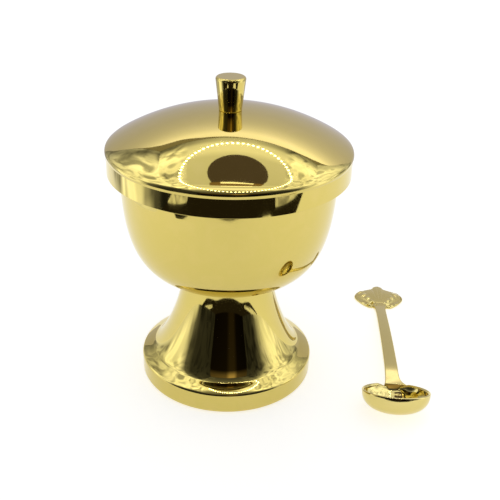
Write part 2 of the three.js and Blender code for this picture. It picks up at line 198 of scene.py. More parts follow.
# %% Gold plate
GOLD = (0.62, 0.505, 0.14, 1)
CAST_GOLD = (0.69, 0.575, 0.2, 1)  # the spoon's plate is a little paler
HAZE = 0.35  # how much rougher a cloud or a band makes it, as a share


def gold(name, roughness, rings, waves, centre=None, colour=GOLD):
    """Gold plate. Rings and waves are the heights, in metres, of its unevenness."""
    material, tree = new_material(name)
    coordinates = tree.nodes.new("ShaderNodeTexCoord").outputs["Object"]
    if centre is not None:
        moved = add(tree, "ShaderNodeMapping", Vector=coordinates, Location=tuple(-centre))
        coordinates = moved.outputs[0]
    slow = noise(tree, coordinates, 55.0, Detail=2.0, Roughness=0.4)
    x, y, z = add(tree, "ShaderNodeSeparateXYZ", Vector=coordinates).outputs
    along = add(tree, "ShaderNodeCombineXYZ", X=from_axis(tree, x, y), Z=z).outputs[0]
    fine = noise(tree, along, 2600.0, Detail=3.0, Roughness=0.6)
    streaks = noise(tree, along, 300.0, Detail=2.0)
    smear = noise(tree, coordinates, 90.0, Detail=4.0, Distortion=1.5)

    wave = add(tree, "ShaderNodeBump", Strength=1.0, Distance=waves, Height=slow).outputs[0]
    ring = add(tree, "ShaderNodeBump", Strength=1.0, Distance=rings, Height=fine, Normal=wave)
    cloud = ramp(tree, smear, (0.45, 0.0), (0.8, 1.0))
    band = ramp(tree, streaks, (0.4, 0.0), (0.75, 1.0))
    haze = times(tree, maths(tree, "ADD", cloud, band), HAZE * roughness)
    rough = maths(tree, "ADD", roughness, haze)

    red, green, blue, _ = colour
    tone = two_tones(tree, cloud, colour, (red + 0.02, green + 0.01, blue + 0.015, 1))
    plate = add(tree, "ShaderNodeBsdfPrincipled", Metallic=1.0, Base_Color=tone,
                Roughness=rough, Normal=ring.outputs[0])

    cells = add(tree, "ShaderNodeTexVoronoi", Vector=coordinates, Scale=260.0, Randomness=1.0)
    grain = ramp(tree, cells.outputs["Distance"], (0.012, 1.0), (0.022, 0.0))
    few = noise(tree, coordinates, 70.0)
    dusty = times(tree, grain, ramp(tree, few, (0.5, 0.0), (0.62, 0.5)))
    dust = add(tree, "ShaderNodeBsdfPrincipled", Base_Color=(0.55, 0.45, 0.3, 1), Roughness=0.9)
    mixed = add(tree, "ShaderNodeMixShader", _0=dusty, _1=plate.outputs[0], _2=dust.outputs[0])
    finish_material(tree, mixed.outputs[0])
    return material


spun_gold = gold("spun_gold", 0.035, 2.0e-8, 2.5e-5, axis)
inner_gold = gold("inner_gold", 0.16, 2.0e-6, 3.0e-5, axis)
cast_gold = gold("cast_gold", 0.06, 0.0, 8.0e-5, colour=CAST_GOLD)
shell_gold = gold("shell_gold", 0.14, 0.0, 1.9e-4, colour=CAST_GOLD)
print("gold finishes:", ", ".join(m.name for m in (spun_gold, inner_gold, cast_gold, shell_gold)))

# %% [markdown]
# ## Spinning a sheet
#
# The foot, the bowl and the lid are spun: a disc of sheet is pressed over a
# turning form. The same idea makes the mesh. A line of points, the outline of
# the outer face, is spun about the axis, and a Solidify modifier gives the
# sheet its thickness on the inside. A Bevel modifier softens the cut edges,
# which catch a thin line of light. Points lie close together next to each
# bend, because the shading between two far points would smear a reflection.

# %% Outline helpers
SPIN_STEPS = 180
ARC_STEP = 4.0  # degrees
LINE_STEP = 1.0  # mm
SUPPORT = 0.2  # mm, from a corner to the next point


def point(r, z):
    return Vector((r, 0, z))


def arc(r, z, radius, start, end):
    length = radius * radians(abs(end - start))
    steps = max(3, round(abs(end - start) / ARC_STEP), round(length / LINE_STEP))
    angles = [radians(start + (end - start) * i / steps) for i in range(steps + 1)]
    return [point(r + radius * cos(a), z + radius * sin(a)) for a in angles]


def heading(angle):
    return point(cos(radians(angle)), sin(radians(angle)))


def sweep(start, start_angle, start_pull, end, end_angle, end_pull):
    """A smooth curve that leaves and arrives at the given headings."""
    leave = start + heading(start_angle) * start_pull
    reach = end - heading(end_angle) * end_pull
    steps = round((end - start).length / LINE_STEP) + 2
    return interpolate_bezier(start, leave, reach, end, steps)


def filled_in(points):
    """Adds points along the straight runs of an outline, close to both ends of each."""
    line = [points[0]]
    for p in points[1:]:
        before = line[-1].copy()
        gap = p - before
        if gap.length < 1e-4:
            continue
        steps = max(1, round(gap.length / LINE_STEP))
        shares = {i / steps for i in range(1, steps + 1)}
        if steps > 1:
            shares |= {SUPPORT / gap.length, 1 - SUPPORT / gap.length}
        line += [before + gap * share for share in sorted(shares)]
    return line


# %% Spin helper
def link(name, mesh, *materials):
    piece = bpy.data.objects.new(name, mesh)
    bpy.context.scene.collection.objects.link(piece)
    for material in materials:
        mesh.materials.append(material)
    mesh.shade_smooth()
    return piece


def turned(outline, steps, turns=1, **more):
    """Spins an outline, given in mm from the boat's axis, about the Z axis."""
    bm = bmesh.new()
    corners = [bm.verts.new(p * MM) for p in outline]
    edges = [bm.edges.new(pair) for pair in zip(corners, corners[1:])]
    bmesh.ops.spin(bm, geom=corners + edges, cent=(0, 0, 0), axis=(0, 0, 1),
                   angle=2 * pi * turns, steps=steps * turns, **more)
    bmesh.ops.remove_doubles(bm, verts=bm.verts, dist=1e-6)
    return bm


def on_axis(bm):
    """Turns the faces outwards and moves the mesh to the boat's axis."""
    bmesh.ops.recalc_face_normals(bm, faces=bm.faces)
    bmesh.ops.translate(bm, verts=bm.verts, vec=axis)
    return bm


def spun(outline, steps=SPIN_STEPS):
    return on_axis(turned(outline, steps, use_merge=True))


def to_mesh(name, bm):
    mesh = bpy.data.meshes.new(name)
    bm.to_mesh(mesh)
    bm.free()
    return mesh


def wall_up(piece, wall, edge):
    """Thickens a skin inwards and rounds its cut edges. Both sizes are in mm."""
    solidify = piece.modifiers.new("wall", "SOLIDIFY")
    solidify.thickness = wall * MM
    solidify.offset = -1
    solidify.use_even_offset = True
    solidify.material_offset = 1
    bevel = piece.modifiers.new("edge", "BEVEL")
    bevel.width = edge * MM
    bevel.segments = 3
    bevel.limit_method = "ANGLE"
    bevel.angle_limit = radians(50)


def report(piece):
    """Prints what the piece came to, with its modifiers."""
    seen = piece.evaluated_get(bpy.context.evaluated_depsgraph_get()).to_mesh()
    size = [round(v / MM, 1) for v in piece.dimensions]
    print(piece.name, "faces:", len(seen.polygons), "size, mm:", size)


# %% [markdown]
# ## The foot
#
# From the table up: a narrow flat turned inwards, a round edge, an upright
# wall, a tight shoulder, a slope that is slightly domed, and a long sweep up to
# the seat of the bowl. The slope is flat enough to show the ceiling's lamps.
# The sweep is one Bezier curve, the same as in the frame.

# %% Foot
FOOT_RADIUS = 34.2
FOOT_HEIGHT = foot_high.z / MM
FOOT_WALL = 1.0
FOOT_EDGE = 2.6
FOOT_FLANGE = 4.5
SHOULDER_HEIGHT = 8.0
SHOULDER_RADIUS = 1.4
SHOULDER_TURN = 57  # degrees from upright where the shoulder ends
SLOPE_RADIUS = 40.0
SLOPE_TURN = 63
LOW_PULL, HIGH_PULL = 0.12, 0.45  # of the sweep, as shares of its length
STEM_RADIUS = 17.3
STEM_EDGE = 0.7
STEM_TAPER = 8
STUD_HOLE = 2.9

edge = arc(FOOT_RADIUS - FOOT_EDGE, FOOT_EDGE, FOOT_EDGE, -90, 0)
centre = point(FOOT_RADIUS - SHOULDER_RADIUS, SHOULDER_HEIGHT)
shoulder = arc(centre.x, centre.z, SHOULDER_RADIUS, 0, SHOULDER_TURN)
centre += heading(SHOULDER_TURN) * (SHOULDER_RADIUS - SLOPE_RADIUS)
slope = arc(centre.x, centre.z, SLOPE_RADIUS, SHOULDER_TURN, SLOPE_TURN)
lip = arc(STEM_RADIUS - STEM_EDGE, FOOT_HEIGHT - STEM_EDGE, STEM_EDGE, 0, 90)
reach = (lip[0] - slope[-1]).length
stem = sweep(slope[-1], 90 + SLOPE_TURN, LOW_PULL * reach, lip[0], 90 + STEM_TAPER, HIGH_PULL * reach)
standing = point(FOOT_RADIUS - FOOT_EDGE - FOOT_FLANGE, 0)
foot_seat = point(STUD_HOLE, FOOT_HEIGHT)
foot_outline = filled_in([standing, *edge, *shoulder, *slope, *stem, *lip, foot_seat])

foot = link("foot_spun", to_mesh("foot_spun", spun(foot_outline)), spun_gold, inner_gold)
wall_up(foot, FOOT_WALL, 0.15)
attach(foot, "boat")
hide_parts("foot")
report(foot)

# %% [markdown]
# ## The bowl
#
# A round belly that stands almost upright under the rim, leans out a little
# and ends in a rolled edge. The roll is what the lid rests on.

# %% Bowl
BOWL_RADIUS = 40.35
BOWL_FLOOR = 16
BOWL_WALL = 1.0
FLOOR_RISE = 12.6
RIM_FLARE = 1.2
RIM_FLARE_HEIGHT = 8.0
ROLL_RADIUS = 1.4
ROLL_CENTRE = BOWL_RADIUS + RIM_FLARE - BOWL_WALL + ROLL_RADIUS
ROLL_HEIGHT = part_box("bowl")[1].z / MM - ROLL_RADIUS
FLOOR_PULL, SIDE_PULL = 0.6, 0.83  # of the belly, as shares of its width and height
FLARE_START_PULL, FLARE_END_PULL, FLARE_END_ANGLE = 2.5, 2.0, 78

belly_low = point(BOWL_FLOOR, FOOT_HEIGHT)
belly_high = point(BOWL_RADIUS, ROLL_HEIGHT - RIM_FLARE_HEIGHT)
rise = belly_high - belly_low
belly = sweep(belly_low, FLOOR_RISE, FLOOR_PULL * rise.x, belly_high, 90, SIDE_PULL * rise.z)
flare_top = point(BOWL_RADIUS + RIM_FLARE, ROLL_HEIGHT - ROLL_RADIUS / 2)
flare = sweep(belly_high, 90, FLARE_START_PULL, flare_top, FLARE_END_ANGLE, FLARE_END_PULL)
bowl_outline = filled_in([point(0, FOOT_HEIGHT), *belly, *flare])
bowl = link("bowl_spun", to_mesh("bowl_spun", spun(bowl_outline)), spun_gold, inner_gold)
wall_up(bowl, BOWL_WALL, 0.1)
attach(bowl, "boat")
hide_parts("bowl")
report(bowl)

# %% Rolled rim of the bowl
rim_outline = arc(ROLL_CENTRE, ROLL_HEIGHT, ROLL_RADIUS, 0, 360)
rim = link("bowl_rim", to_mesh("bowl_rim", spun(rim_outline)), spun_gold)
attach(rim, "boat")
report(rim)

# %% [markdown]
# ## The lid
#
# A low dome turns down over a shoulder and a small rounding into an upright
# skirt, which reaches down outside the rolled rim. The shoulder rests on the
# roll, so its height follows from the roll's.

# %% Lid
LID_WALL = 0.9
LID_CLEARANCE = 0.75
LID_SEAT_GAP = 0.3
EDGE_RADIUS = 1.6
EDGE_STAND = 0.3  # how far the rounding stands out over the skirt
EDGE_TURN = 41  # degrees from level, where the shoulder meets the rounding
LID_SHOULDER = 14.6
DOME_TURN = 30.8
KNOB_SEAT = 4.85
SCREW_HOLE = 1.9

skirt_radius = ROLL_CENTRE + ROLL_RADIUS + LID_CLEARANCE + LID_WALL
edge_centre = skirt_radius + EDGE_STAND - EDGE_RADIUS
shoulder_centre = edge_centre - (LID_SHOULDER - EDGE_RADIUS) * sin(radians(EDGE_TURN))
seat_reach = LID_SHOULDER - LID_WALL - LID_SEAT_GAP - ROLL_RADIUS
shoulder_height = ROLL_HEIGHT - sqrt(seat_reach ** 2 - (ROLL_CENTRE - shoulder_centre) ** 2)
edge_height = shoulder_height + (LID_SHOULDER - EDGE_RADIUS) * cos(radians(EDGE_TURN))
dome_reach = shoulder_centre / sin(radians(DOME_TURN))
dome_radius = LID_SHOULDER + dome_reach
dome_centre = shoulder_height - dome_reach * cos(radians(DOME_TURN))
lid_low, lid_high = (corner.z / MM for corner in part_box("lid"))
print("dome radius", round(dome_radius, 1), "mm, knob's seat at", round(lid_high, 2), "mm")

under_edge = -degrees(acos(1 - EDGE_STAND / EDGE_RADIUS))
rounding = arc(edge_centre, edge_height, EDGE_RADIUS, under_edge, 90 - EDGE_TURN)
lid_shoulder = arc(shoulder_centre, shoulder_height, LID_SHOULDER, 90 - EDGE_TURN, 90 - DOME_TURN)
dome = arc(0, dome_centre, dome_radius, 90 - DOME_TURN, degrees(acos(KNOB_SEAT / dome_radius)))
lid_outline = filled_in([
    point(skirt_radius, lid_low), *rounding, *lid_shoulder, *dome, point(SCREW_HOLE, lid_high),
])
lid = link("lid_spun", to_mesh("lid_spun", spun(lid_outline)), spun_gold, inner_gold)
wall_up(lid, LID_WALL, 0.15)
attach(lid, "lid")
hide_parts("lid")
report(lid)

# %% [markdown]
# ## The knob
#
# Turned from solid bar: it widens upwards, and its top edge is rounded.

# %% Knob
KNOB_BASE = 4.15
KNOB_TOP = 5.45
KNOB_EDGE = 0.9
KNOB_BORE = 1.65
SMALL_STEPS = 96

knob_low, knob_high = (corner.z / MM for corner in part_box("knob"))
knob_edge = arc(KNOB_TOP - KNOB_EDGE, knob_high - KNOB_EDGE, KNOB_EDGE, 0, 90)
knob_outline = filled_in([
    point(KNOB_BORE, knob_low), point(KNOB_BASE, knob_low), *knob_edge, point(0, knob_high),
])
knob = link("knob_turned", to_mesh("knob_turned", spun(knob_outline, SMALL_STEPS)), spun_gold)
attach(knob, "lid")
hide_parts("knob")
report(knob)

# %% [markdown]
# ## The fixings
#
# Nobody sees them until the lid is lifted or the boat is turned over, but they
# hold it together: a stud, a washer and a nut inside the foot, and a washer and
# a slotted screw under the lid. They are plain metal, turned and not polished,
# so the marks of the tool show as fine rings.

# %% Plain metals
def turned_metal(name, colour, roughness, tint):
    """Bare metal with the fine rings of turning, and a tint where it has tarnished."""
    material, tree = new_material(name)
    coordinates = tree.nodes.new("ShaderNodeTexCoord").outputs["Object"]
    moved = add(tree, "ShaderNodeMapping", Vector=coordinates, Location=tuple(-axis)).outputs[0]
    x, y, z = add(tree, "ShaderNodeSeparateXYZ", Vector=moved).outputs
    along = add(tree, "ShaderNodeCombineXYZ", X=from_axis(tree, x, y), Z=z).outputs[0]
    marks = noise(tree, along, 9000.0, Detail=2.0)
    cloud = ramp(tree, noise(tree, moved, 300.0, Detail=4.0), (0.4, 0.0), (0.7, 1.0))
    tone = two_tones(tree, cloud, colour, tint)
    rough = maths(tree, "ADD", roughness, times(tree, cloud, 0.12))
    grooves = add(tree, "ShaderNodeBump", Strength=0.6, Distance=1.0e-5, Height=marks)
    plain = add(tree, "ShaderNodeBsdfPrincipled", Metallic=1.0, Base_Color=tone,
                Roughness=rough, Normal=grooves.outputs[0])
    finish_material(tree, plain.outputs[0])
    return material


plain_brass = turned_metal("plain_brass", (0.55, 0.42, 0.17, 1), 0.28, (0.43, 0.30, 0.12, 1))
plain_steel = turned_metal("plain_steel", (0.52, 0.53, 0.53, 1), 0.34, (0.44, 0.46, 0.48, 1))


# %% Thread helper
THREAD_STEPS = 48
CREST_START, CREST_END = 0.4, 0.52  # shares of the pitch
NEAR = 1e-3  # mm, closer than this two heights count as one


def cut_level(bm, height, upper):
    """Cuts a mesh off level and closes the cut. Keeps what is above, or below if upper."""
    bmesh.ops.bisect_plane(bm, geom=bm.verts[:] + bm.edges[:] + bm.faces[:], plane_co=(0, 0, height * MM),
                           plane_no=(0, 0, 1), clear_outer=upper, clear_inner=not upper)
    open_edges = [e for e in bm.edges if e.is_boundary and abs(e.verts[0].co.z / MM - height) < NEAR]
    bmesh.ops.holes_fill(bm, edges=open_edges)


def threaded(crest, depth, pitch, low, high, taper):
    """A rod with a helical thread that dies out in a taper at the lower end."""
    turns = ceil((high - low) / pitch) + 2
    line = [point(crest - depth, 0), point(crest, CREST_START * pitch),
            point(crest, CREST_END * pitch), point(crest - depth, pitch)]
    line = [p + point(0, low - pitch) for p in line]
    bm = turned(line, THREAD_STEPS, turns, dvec=(0, 0, pitch * MM / THREAD_STEPS))
    for v in bm.verts:
        largest = (crest - taper + max(0.0, v.co.z / MM - low)) * MM
        if hypot(v.co.x, v.co.y) > largest:
            v.co.xy *= largest / hypot(v.co.x, v.co.y)
    cut_level(bm, high, True)
    cut_level(bm, low, False)
    return on_axis(bm)


def fixing(name, bm, node, body, material, sharp=35):
    """Turns a mesh into the piece that stands for a node. Edges over the sharp angle stay hard."""
    piece = link(name, to_mesh(name, bm), material)
    piece.data.set_sharp_from_angle(angle=radians(sharp))
    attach(piece, body)
    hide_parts(node)
    report(piece)


# %% Stud, and the two washers
STUD_RADIUS = 2.5
STUD_PITCH = 0.8
THREAD_DEPTH = 0.42
STUD_TAPER = 0.6
WASHER_ROUNDING = 0.2
BOWL_WASHER_RADIUS = 7.5
KNOB_WASHER_RADIUS = 4.2

stud_low, stud_high = (corner.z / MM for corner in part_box("bowl_stud"))
bm = threaded(STUD_RADIUS, THREAD_DEPTH, STUD_PITCH, stud_low, stud_high, STUD_TAPER)
fixing("stud_threaded", bm, "bowl_stud", "boat", plain_brass)


def washer(name, node, body, bore, radius):
    low, high = (corner.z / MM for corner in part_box(node))
    out, turn = radius - WASHER_ROUNDING, WASHER_ROUNDING
    line = [point(bore, low), *arc(out, low + turn, turn, -90, 0), *arc(out, high - turn, turn, 0, 90),
            point(bore, high), point(bore, low)]
    fixing(name, spun(line, SMALL_STEPS), node, body, plain_brass, 50)


washer("bowl_washer_turned", "bowl_washer", "boat", STUD_HOLE, BOWL_WASHER_RADIUS)
washer("knob_washer_turned", "knob_washer", "lid", SCREW_HOLE, KNOB_WASHER_RADIUS)

# %% [markdown]
# A nut is a hexagon with its corners turned off at 30 degrees, top and bottom.
# Each ring of the mesh follows the hexagon, and its height drops where the
# ring reaches past the flats; that draws the curved edges of a real nut.

# %% Nut
NUT_FLATS = 8.0
NUT_FACE = 0.97  # radius of the flat face, as a share of half the distance across flats
NUT_STEPS = 72
BORE = 2.65
BORE_BEVEL = 0.35
SLOPE_OFF = (1 / 3) ** 0.5  # tangent of 30 degrees

nut_low, nut_high = (corner.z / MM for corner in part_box("bowl_nut"))
half_flats = NUT_FLATS / 2
face_radius = NUT_FACE * half_flats


def hexagon_radius(turn):
    return half_flats / cos(turn % (pi / 3) - pi / 6)


def turned_off(turn):
    """How far the 30 degree cut has come down at the hexagon's own radius."""
    return (hexagon_radius(turn) - face_radius) * SLOPE_OFF


def nut_loop(bm, radius_at, height_at):
    loop = []
    for i in range(NUT_STEPS):
        turn = 2 * pi * i / NUT_STEPS
        radius = radius_at(turn)
        loop.append(bm.verts.new(Vector((radius * cos(turn), radius * sin(turn), height_at(turn))) * MM))
    return loop


def band(bm, lower, upper):
    """Quads between two closed loops of corners."""
    for i in range(len(lower)):
        j = (i + 1) % len(lower)
        bm.faces.new((lower[i], lower[j], upper[j], upper[i]))


bm = bmesh.new()
loops = [
    nut_loop(bm, lambda t: BORE, lambda t: nut_low + BORE_BEVEL),
    nut_loop(bm, lambda t: BORE + BORE_BEVEL, lambda t: nut_low),
    nut_loop(bm, lambda t: face_radius, lambda t: nut_low),
    nut_loop(bm, hexagon_radius, lambda t: nut_low + turned_off(t)),
    nut_loop(bm, hexagon_radius, lambda t: nut_high - turned_off(t)),
    nut_loop(bm, lambda t: face_radius, lambda t: nut_high),
    nut_loop(bm, lambda t: BORE + BORE_BEVEL, lambda t: nut_high),
    nut_loop(bm, lambda t: BORE, lambda t: nut_high - BORE_BEVEL),
]
for lower, upper in zip(loops, loops[1:] + loops[:1]):
    band(bm, lower, upper)
fixing("nut_chamfered", on_axis(bm), "bowl_nut", "boat", plain_brass, 25)

# %% [markdown]
# The screw is a cheese head with a slot and a threaded shank. The slot is cut
# with three planes: the strip between them is taken away and its floor and
# sides are closed again.

# %% Slotted screw
SCREW_RADIUS = 1.5
SCREW_PITCH = 0.5
SCREW_DEPTH = 0.27
SCREW_TAPER = 0.1
HEAD_RADIUS = 2.9
HEAD_HEIGHT = 1.9
HEAD_ROUNDING = 0.6
SLOT_WIDTH = 0.8
SLOT_DEPTH = 0.9
HEAD_STEPS = 72
CORE_SHORT = 0.1  # the head's core stops short of the shank's end

screw_low, screw_high = (corner.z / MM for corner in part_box("knob_screw"))
head_top = screw_low + HEAD_HEIGHT
round_edge = arc(HEAD_RADIUS - HEAD_ROUNDING, screw_low + HEAD_ROUNDING, HEAD_ROUNDING, -90, 0)
core_radius, core_top = SCREW_RADIUS - SCREW_DEPTH, screw_high - CORE_SHORT
line = [point(0, screw_low), *round_edge, point(HEAD_RADIUS, head_top),
        point(core_radius, head_top), point(core_radius, core_top), point(0, core_top)]
bm = turned(line, HEAD_STEPS, use_merge=True)

half_slot, slot_floor = SLOT_WIDTH / 2, screw_low + SLOT_DEPTH
planes = [((half_slot, 0, 0), (1, 0, 0)), ((-half_slot, 0, 0), (1, 0, 0)), ((0, 0, slot_floor), (0, 0, 1))]
for place_at, direction in planes:
    bmesh.ops.bisect_plane(bm, geom=bm.verts[:] + bm.edges[:] + bm.faces[:],
                           plane_co=Vector(place_at) * MM, plane_no=direction, dist=1e-7)


def in_slot(face):
    middle = face.calc_center_median() / MM
    return abs(middle.x) < half_slot and middle.z < slot_floor


bmesh.ops.delete(bm, geom=[f for f in bm.faces if in_slot(f)], context="FACES")
edge_loop = [v for v in bm.verts if v.is_boundary]


def corners_where(test):
    return [v for v in edge_loop if test(v.co / MM)]


for side in (-1, 1):
    wall_line = corners_where(lambda p: abs(p.x - side * half_slot) < NEAR)
    floor_ends = [v for v in wall_line if abs(v.co.z / MM - slot_floor) < NEAR]
    lower = [v for v in wall_line if v not in floor_ends]
    bm.faces.new(sorted(lower, key=lambda v: v.co.y) + sorted(floor_ends, key=lambda v: -v.co.y))
floor_line = corners_where(lambda p: abs(p.z - slot_floor) < NEAR)
floor_line.sort(key=lambda v: (v.co.y > 0, v.co.x if v.co.y < 0 else -v.co.x))
bm.faces.new(floor_line)
head_mesh = to_mesh("screw_head", on_axis(bm))
bm = threaded(SCREW_RADIUS, SCREW_DEPTH, SCREW_PITCH, head_top, screw_high, SCREW_TAPER)
bm.from_mesh(head_mesh)
fixing("screw_slotted", bm, "knob_screw", "lid", plain_steel)

# %% [markdown]
# ## The spoon
#
# One casting, but three skins that run into each other: the bowl, a handle
# that comes down into it over a worn lip, and the shell. Each is a stack of
# loops, drawn in the spoon's own place: x across, y along the handle, z up.
# A turn and a shift then lay it on the table.

# %% Spoon helpers
SPOON_X, SPOON_Y = 64.85, -30.5  # middle of the bowl's rim, from the boat's axis
SPOON_TURN = -4.6  # degrees
SPOON_HALF_WIDTH = 13.05
SPOON_HALF_LENGTH = 11.5
SPOON_DEPTH = 9.3
SPOON_WALL = 0.9
SPOON_TILT = radians(21.5)
HANDLE_REACH = 65.5
HANDLE_THICKNESS = 1.8

rim_height = hypot(SPOON_DEPTH * cos(SPOON_TILT), SPOON_HALF_LENGTH * sin(SPOON_TILT))
handle_start = SPOON_HALF_LENGTH * cos(SPOON_TILT)
rim_back = rim_height - SPOON_HALF_LENGTH * sin(SPOON_TILT)
shell_root = handle_start + HANDLE_REACH
spoon_place = axis + Vector((SPOON_X, SPOON_Y, 0)) * MM
laid = Matrix.Translation(spoon_place) @ Matrix.Rotation(radians(SPOON_TURN), 4, "Z")


def skin(loops, ends=True):
    """Quads between loops of equal length, given in mm in the spoon's own place."""
    bm = bmesh.new()
    made = [[bm.verts.new(p * MM) for p in loop] for loop in loops]
    for lower, upper in zip(made, made[1:]):
        band(bm, lower, upper)
    bmesh.ops.remove_doubles(bm, verts=bm.verts, dist=1e-6)
    if ends:
        bmesh.ops.holes_fill(bm, edges=[e for e in bm.edges if e.is_boundary])
    bmesh.ops.recalc_face_normals(bm, faces=bm.faces)
    bmesh.ops.transform(bm, matrix=laid, verts=bm.verts)
    return bm


def smooth_step(value):
    """0 below 0, 1 above 1 and a soft run between."""
    share = min(max(value, 0.0), 1.0)
    return share * share * (3 - 2 * share)


# %% Bowl of the spoon
BOWL_STEPS = 192
QUARTER_STEPS = 32
LIP_ROUNDING = 0.4
LIP_STEPS = 6
BOWL_DEPTH = 8.7
BOWL_FULLNESS = 0.8  # below 1 the outside stands more upright under the lip than an oval
NOTCH_DEPTH = 1.5  # the lip is lower where the handle comes in
NOTCH_HALF = 2.4
NOTCH_FADE = 4.2
NOTCH_REACH = 4.0  # how far down the wall the notch still pulls


def oval(half_width, half_length, height):
    """A level oval of the bowl, tipped with it, and drawn down in the notch."""
    loop = []
    for i in range(BOWL_STEPS):
        turn = 2 * pi * i / BOWL_STEPS
        x, y = half_width * cos(turn), half_length * sin(turn)
        p = Matrix.Rotation(-SPOON_TILT, 3, "X") @ Vector((x, y, height)) + Vector((0, 0, rim_height))
        inward = 1 - smooth_step((abs(x) - NOTCH_HALF) / NOTCH_FADE)
        if y > 0:
            p.z -= NOTCH_DEPTH * inward * smooth_step(1 + height / NOTCH_REACH)
        loop.append(p)
    return loop


inner_half_width = SPOON_HALF_WIDTH - SPOON_WALL
inner_half_length = SPOON_HALF_LENGTH - SPOON_WALL
inner_depth = BOWL_DEPTH - SPOON_WALL
outside, inside = [], []
for i in range(QUARTER_STEPS + 1):
    turn = pi / 2 * i / QUARTER_STEPS
    out, down = sin(turn) ** BOWL_FULLNESS, cos(turn) ** BOWL_FULLNESS
    height = min(-BOWL_DEPTH * down, -LIP_ROUNDING)
    outside.append(oval(SPOON_HALF_WIDTH * out, SPOON_HALF_LENGTH * out, height))
    out, down = sin(turn), cos(turn)
    height = min(-inner_depth * down, -LIP_ROUNDING)
    inside.append(oval(inner_half_width * out, inner_half_length * out, height))
lip_loops = []
for i in range(1, LIP_STEPS):
    turn = pi * i / LIP_STEPS
    draw_in = SPOON_WALL / 2 * (1 - cos(turn))
    height = LIP_ROUNDING * (sin(turn) - 1)
    lip_loops.append(oval(SPOON_HALF_WIDTH - draw_in, SPOON_HALF_LENGTH - draw_in, height))
bowl_skin = skin([*outside, *lip_loops, *reversed(inside)], ends=False)
spoon_bowl = link("spoon_bowl", to_mesh("spoon_bowl", bowl_skin), cast_gold)
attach(spoon_bowl, "spoon")
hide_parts("spoon")
report(spoon_bowl)

# %% [markdown]
# The handle is a flat bar with rounded corners, arched a little. Near the bowl
# it comes down at a steady slope, runs over the lip and dies out as a tongue on
# the inside, so that the ceiling's light pools there. The sections bend with
# the bowl's oval at that end.

# %% Handle
HANDLE_WIDTH = 5.4
HANDLE_END_WIDTH = 4.5
HANDLE_ARCH = 1.6
HANDLE_FLARE = 3.4
HANDLE_FLARE_LENGTH = 1.5
FLARE_ASIDE = 1.1  # the flare is longer on the right
HANDLE_END_FLARE = 1.6
HANDLE_ROUNDING = 0.45
HANDLE_STEPS = 90
HANDLE_CROWDING = 1.3  # above 1 the sections lie closer near the bowl
HANDLE_OVERLAP = 3  # how far it runs on under the shell
CORNER_STEPS = 4
SAG_LENGTH = 6  # the sections are straight from here on, in mm from the bowl
TONGUE = 3.4  # how far the handle runs on inside the bowl
TONGUE_STEPS = 16
TONGUE_END = 0.5  # its thickness where it dies out
TONGUE_NARROWING = 0.5  # its width there, as a share of the handle's
TONGUE_HEIGHT = 1.95  # and the height of its face
MOUTH_ANGLE, MOUTH_PULL = 16, 0.5  # degrees and mm, where the tongue starts
TAIL_ANGLE, TAIL_PULL = 43, 2.7  # and where it ends
HUMP = 1.7  # how far the handle stands up before it comes down to the bowl
HUMP_FROM, HUMP_TO = 6.5, 11.0  # its bend, in mm from the bowl
LIP_DROP = 0.2  # its face meets the bowl this far under the rim


def bar_section(y, top, width, thickness, sag, aside=0.0):
    """A flat bar's section. The sag bends it with the oval of the bowl."""
    r = min(HANDLE_ROUNDING, 0.45 * thickness)
    loop = []
    for corner_x, corner_z, start in ((1, 1, 0), (-1, 1, 90), (-1, -1, 180), (1, -1, 270)):
        for i in range(CORNER_STEPS + 1):
            turn = radians(start + 90 * i / CORNER_STEPS)
            x = corner_x * (width / 2 - r) + r * cos(turn)
            z = corner_z * (thickness / 2 - r) + r * sin(turn)
            loop.append((x, z))
    bent = []
    for x, z in loop:
        share = min(abs(x) / SPOON_HALF_WIDTH, 0.95)
        bow = sag * SPOON_HALF_LENGTH * (1 - sqrt(1 - share * share))
        bent.append(Vector((x + aside, y - bow, top - thickness / 2 + z)))
    return bent


def uphill(angle):
    """A step of 1 mm along the handle, towards the shell and up at an angle."""
    return Vector((0, cos(radians(angle)), sin(radians(angle))))


def handle_top(along):
    """Height of the handle's face; along is 0 at the bowl and 1 at the shell."""
    straight = rim_back - LIP_DROP * (1 - along) + (HANDLE_THICKNESS - rim_back) * along
    distance = along * HANDLE_REACH
    bend = HUMP_TO - HUMP_FROM
    past = min(max(distance - HUMP_FROM, 0.0), bend)
    risen = min(distance, HUMP_FROM) + past - past * past / (2 * bend)
    hump = HUMP * risen / (HUMP_FROM + bend / 2) * (1 - along)
    return straight + 4 * HANDLE_ARCH * along * (1 - along) + hump


